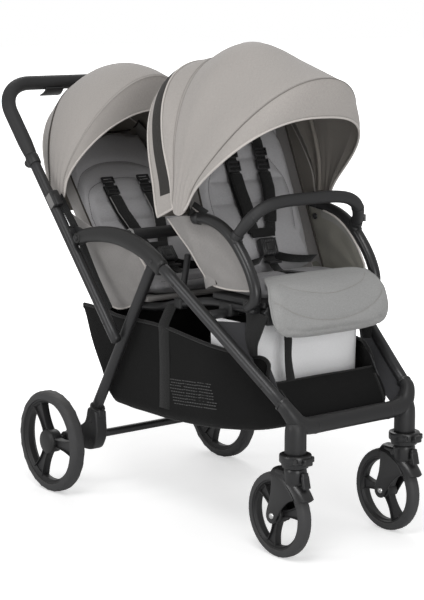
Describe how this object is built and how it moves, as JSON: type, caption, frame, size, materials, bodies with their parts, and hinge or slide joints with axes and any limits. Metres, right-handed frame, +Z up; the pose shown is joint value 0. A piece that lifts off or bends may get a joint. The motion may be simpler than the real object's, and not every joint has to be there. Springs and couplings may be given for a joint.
{
  "type": "tandem stroller",
  "caption": "Folding pushchair with one seat behind the other: tube frame, swivelling front wheels, hooded reclining seats, bumper bar and an under-seat basket.",
  "frame": {"origin": "centre of the whole object's box, on the ground", "axes": "+Z up, the child faces -Y and the child's left is +X"},
  "size_m": [0.536, 1.0614, 1.0288],
  "materials": {
    "frame_tube": "satin black powder coat",
    "black_plastic": "moulded, fine texture",
    "tyre_foam": "matt foam rubber",
    "grip_foam": "soft matt grip",
    "canopy_cloth": "woven melange grey",
    "seat_cloth": "woven mid grey",
    "wing_cloth": "woven grey",
    "basket_cloth": "coated black weave",
    "webbing": "black ribbed webbing"
  },
  "bodies": {
    "chassis": {"front_leg_left": "frame_tube", "front_leg_right": "frame_tube", "front_crossbar": "black_plastic", "caster_collar_left": "black_plastic", "caster_collar_right": "black_plastic", "armrest_left": "black_plastic", "armrest_right": "black_plastic", "seat_frame": "frame_tube", "front_side_guard_left": "frame_tube", "front_side_guard_right": "frame_tube", "front_seat_pan": "black_plastic", "rear_seat_pan": "black_plastic", "front_seat_cushion": "seat_cloth", "rear_seat_cushion": "seat_cloth", "front_wing_left": "wing_cloth", "front_wing_right": "wing_cloth", "rear_wing_left": "wing_cloth", "rear_wing_right": "wing_cloth", "rear_grab_bar": "black_plastic", "basket": "basket_cloth", "front_buckle": "black_plastic", "rear_buckle": "black_plastic"},
    "rear_legs": {"rear_leg_left": "frame_tube", "rear_leg_right": "frame_tube", "axle_bracket_left": "black_plastic", "axle_bracket_right": "black_plastic", "rear_axle_bar": "frame_tube"},
    "brake": {"brake_pedal": "black_plastic"},
    "rear_wheel_left": {"rear_left_tyre": "tyre_foam", "rear_left_rim": "black_plastic"},
    "rear_wheel_right": {"rear_right_tyre": "tyre_foam", "rear_right_rim": "black_plastic"},
    "caster_left": {"caster_fork_left": "black_plastic"},
    "caster_right": {"caster_fork_right": "black_plastic"},
    "swivel_catch_left": {"swivel_lock_left": "black_plastic"},
    "swivel_catch_right": {"swivel_lock_right": "black_plastic"},
    "front_wheel_left": {"front_left_tyre": "tyre_foam", "front_left_rim": "black_plastic"},
    "front_wheel_right": {"front_right_tyre": "tyre_foam", "front_right_rim": "black_plastic"},
    "handle": {"handle_upright_left": "frame_tube", "handle_upright_right": "frame_tube", "handle_grip": "grip_foam"},
    "trigger": {"fold_trigger": "black_plastic"},
    "front_backrest": {"front_backrest_pad": "seat_cloth", "front_harness": "webbing", "front_canopy_back": "canopy_cloth"},
    "front_canopy_mid": {"front_canopy_middle": "canopy_cloth", "front_canopy_bow": "frame_tube"},
    "front_canopy_front": {"front_canopy_visor": "canopy_cloth"},
    "rear_backrest": {"rear_backrest_pad": "seat_cloth", "rear_harness": "webbing", "rear_canopy_main": "canopy_cloth"},
    "rear_canopy_front": {"rear_canopy_visor": "canopy_cloth"},
    "footrest": {"footrest_pad": "seat_cloth"},
    "bumper": {"front_bumper_bar": "black_plastic"},
    "bumper_button": {"bumper_release": "black_plastic"},
    "front_buckle_press": {"front_buckle_button": "black_plastic"},
    "rear_buckle_press": {"rear_buckle_button": "black_plastic"}
  },
  "joints": [
    {"name": "handle_fold", "type": "hinge", "parent": "chassis", "child": "handle", "pos_m": [0, 0.1763, 0.597], "axis": [1, 0, 0], "range_deg": [0, 60]},
    {"name": "rear_leg_fold", "type": "hinge", "parent": "chassis", "child": "rear_legs", "pos_m": [0, -0.0637, 0.57], "axis": [1, 0, 0], "range_deg": [-18, 0]},
    {"name": "rear_wheel_left_spin", "type": "hinge", "parent": "rear_legs", "child": "rear_wheel_left", "pos_m": [0.251, 0.2613, 0.1173], "axis": [1, 0, 0], "continuous": true},
    {"name": "rear_wheel_right_spin", "type": "hinge", "parent": "rear_legs", "child": "rear_wheel_right", "pos_m": [-0.251, 0.2613, 0.1173], "axis": [1, 0, 0], "continuous": true},
    {"name": "brake_press", "type": "hinge", "parent": "rear_legs", "child": "brake", "pos_m": [0.13, 0.1633, 0.143], "axis": [-1, 0, 0], "range_deg": [0, 18]},
    {"name": "caster_left_swivel", "type": "hinge", "parent": "chassis", "child": "caster_left", "pos_m": [0.1515, -0.4827, 0.15], "axis": [0, 0, 1], "continuous": true},
    {"name": "caster_right_swivel", "type": "hinge", "parent": "chassis", "child": "caster_right", "pos_m": [-0.1515, -0.4827, 0.15], "axis": [0, 0, 1], "continuous": true},
    {"name": "front_wheel_left_spin", "type": "hinge", "parent": "caster_left", "child": "front_wheel_left", "pos_m": [0.1515, -0.4347, 0.089], "axis": [1, 0, 0], "continuous": true},
    {"name": "front_wheel_right_spin", "type": "hinge", "parent": "caster_right", "child": "front_wheel_right", "pos_m": [-0.1515, -0.4347, 0.089], "axis": [1, 0, 0], "continuous": true},
    {"name": "swivel_lock_left_tilt", "type": "hinge", "parent": "caster_left", "child": "swivel_catch_left", "pos_m": [0.1515, -0.5087, 0.162], "axis": [1, 0, 0], "range_deg": [0, 18]},
    {"name": "swivel_lock_right_tilt", "type": "hinge", "parent": "caster_right", "child": "swivel_catch_right", "pos_m": [-0.1515, -0.5087, 0.162], "axis": [1, 0, 0], "range_deg": [0, 18]},
    {"name": "fold_trigger_squeeze", "type": "hinge", "parent": "handle", "child": "trigger", "pos_m": [-0.073, 0.5013, 0.911], "axis": [1, 0, 0], "range_deg": [0, 10], "stiffness_Nm_per_rad": 0.3, "springref_deg": -17.19},
    {"name": "front_recline", "type": "hinge", "parent": "chassis", "child": "front_backrest", "pos_m": [0, -0.18703, 0.54783], "axis": [-1, 0, 0], "range_deg": [0, 12]},
    {"name": "front_canopy_fold", "type": "hinge", "parent": "front_backrest", "child": "front_canopy_mid", "pos_m": [0, -0.1597, 0.692], "axis": [-1, 0, 0], "range_deg": [0, 24], "deforming": ["front_canopy_back", "front_canopy_middle"]},
    {"name": "front_canopy_front_fold", "type": "hinge", "parent": "front_canopy_mid", "child": "front_canopy_front", "pos_m": [0, -0.1597, 0.692], "axis": [-1, 0, 0], "range_deg": [0, 36]},
    {"name": "rear_recline", "type": "hinge", "parent": "chassis", "child": "rear_backrest", "pos_m": [0, 0.17662, 0.47714], "axis": [-1, 0, 0], "range_deg": [-12, 0]},
    {"name": "rear_canopy_fold", "type": "hinge", "parent": "rear_backrest", "child": "rear_canopy_front", "pos_m": [0, 0.3093, 0.664], "axis": [-1, 0, 0], "range_deg": [0, 40], "deforming": ["rear_canopy_main"]},
    {"name": "footrest_lift", "type": "hinge", "parent": "chassis", "child": "footrest", "pos_m": [0, -0.3927, 0.538], "axis": [-1, 0, 0], "range_deg": [0, 80]},
    {"name": "bumper_gate", "type": "hinge", "parent": "chassis", "child": "bumper", "pos_m": [-0.165, -0.3147, 0.6535], "axis": [0, 0, -1], "range_deg": [0, 100]},
    {"name": "bumper_release_press", "type": "slide", "parent": "bumper", "child": "bumper_button", "axis": [-1, 0, 0], "range_m": [0, 0.0025], "stiffness_N_per_m": 300, "springref_m": -0.002},
    {"name": "front_buckle_push", "type": "slide", "parent": "chassis", "child": "front_buckle_press", "axis": [0, 0.9336, -0.3584], "range_m": [0, 0.0025], "stiffness_N_per_m": 300, "springref_m": -0.002},
    {"name": "rear_buckle_push", "type": "slide", "parent": "chassis", "child": "rear_buckle_press", "axis": [0, 0.766, -0.6428], "range_m": [0, 0.0025], "stiffness_N_per_m": 300, "springref_m": -0.002}
  ],
  "couplings": [
    {"joint": "rear_leg_fold", "follows": "handle_fold", "ratio": -0.3},
    {"joint": "front_canopy_front_fold", "follows": "front_canopy_fold", "ratio": 1.5}
  ]
}
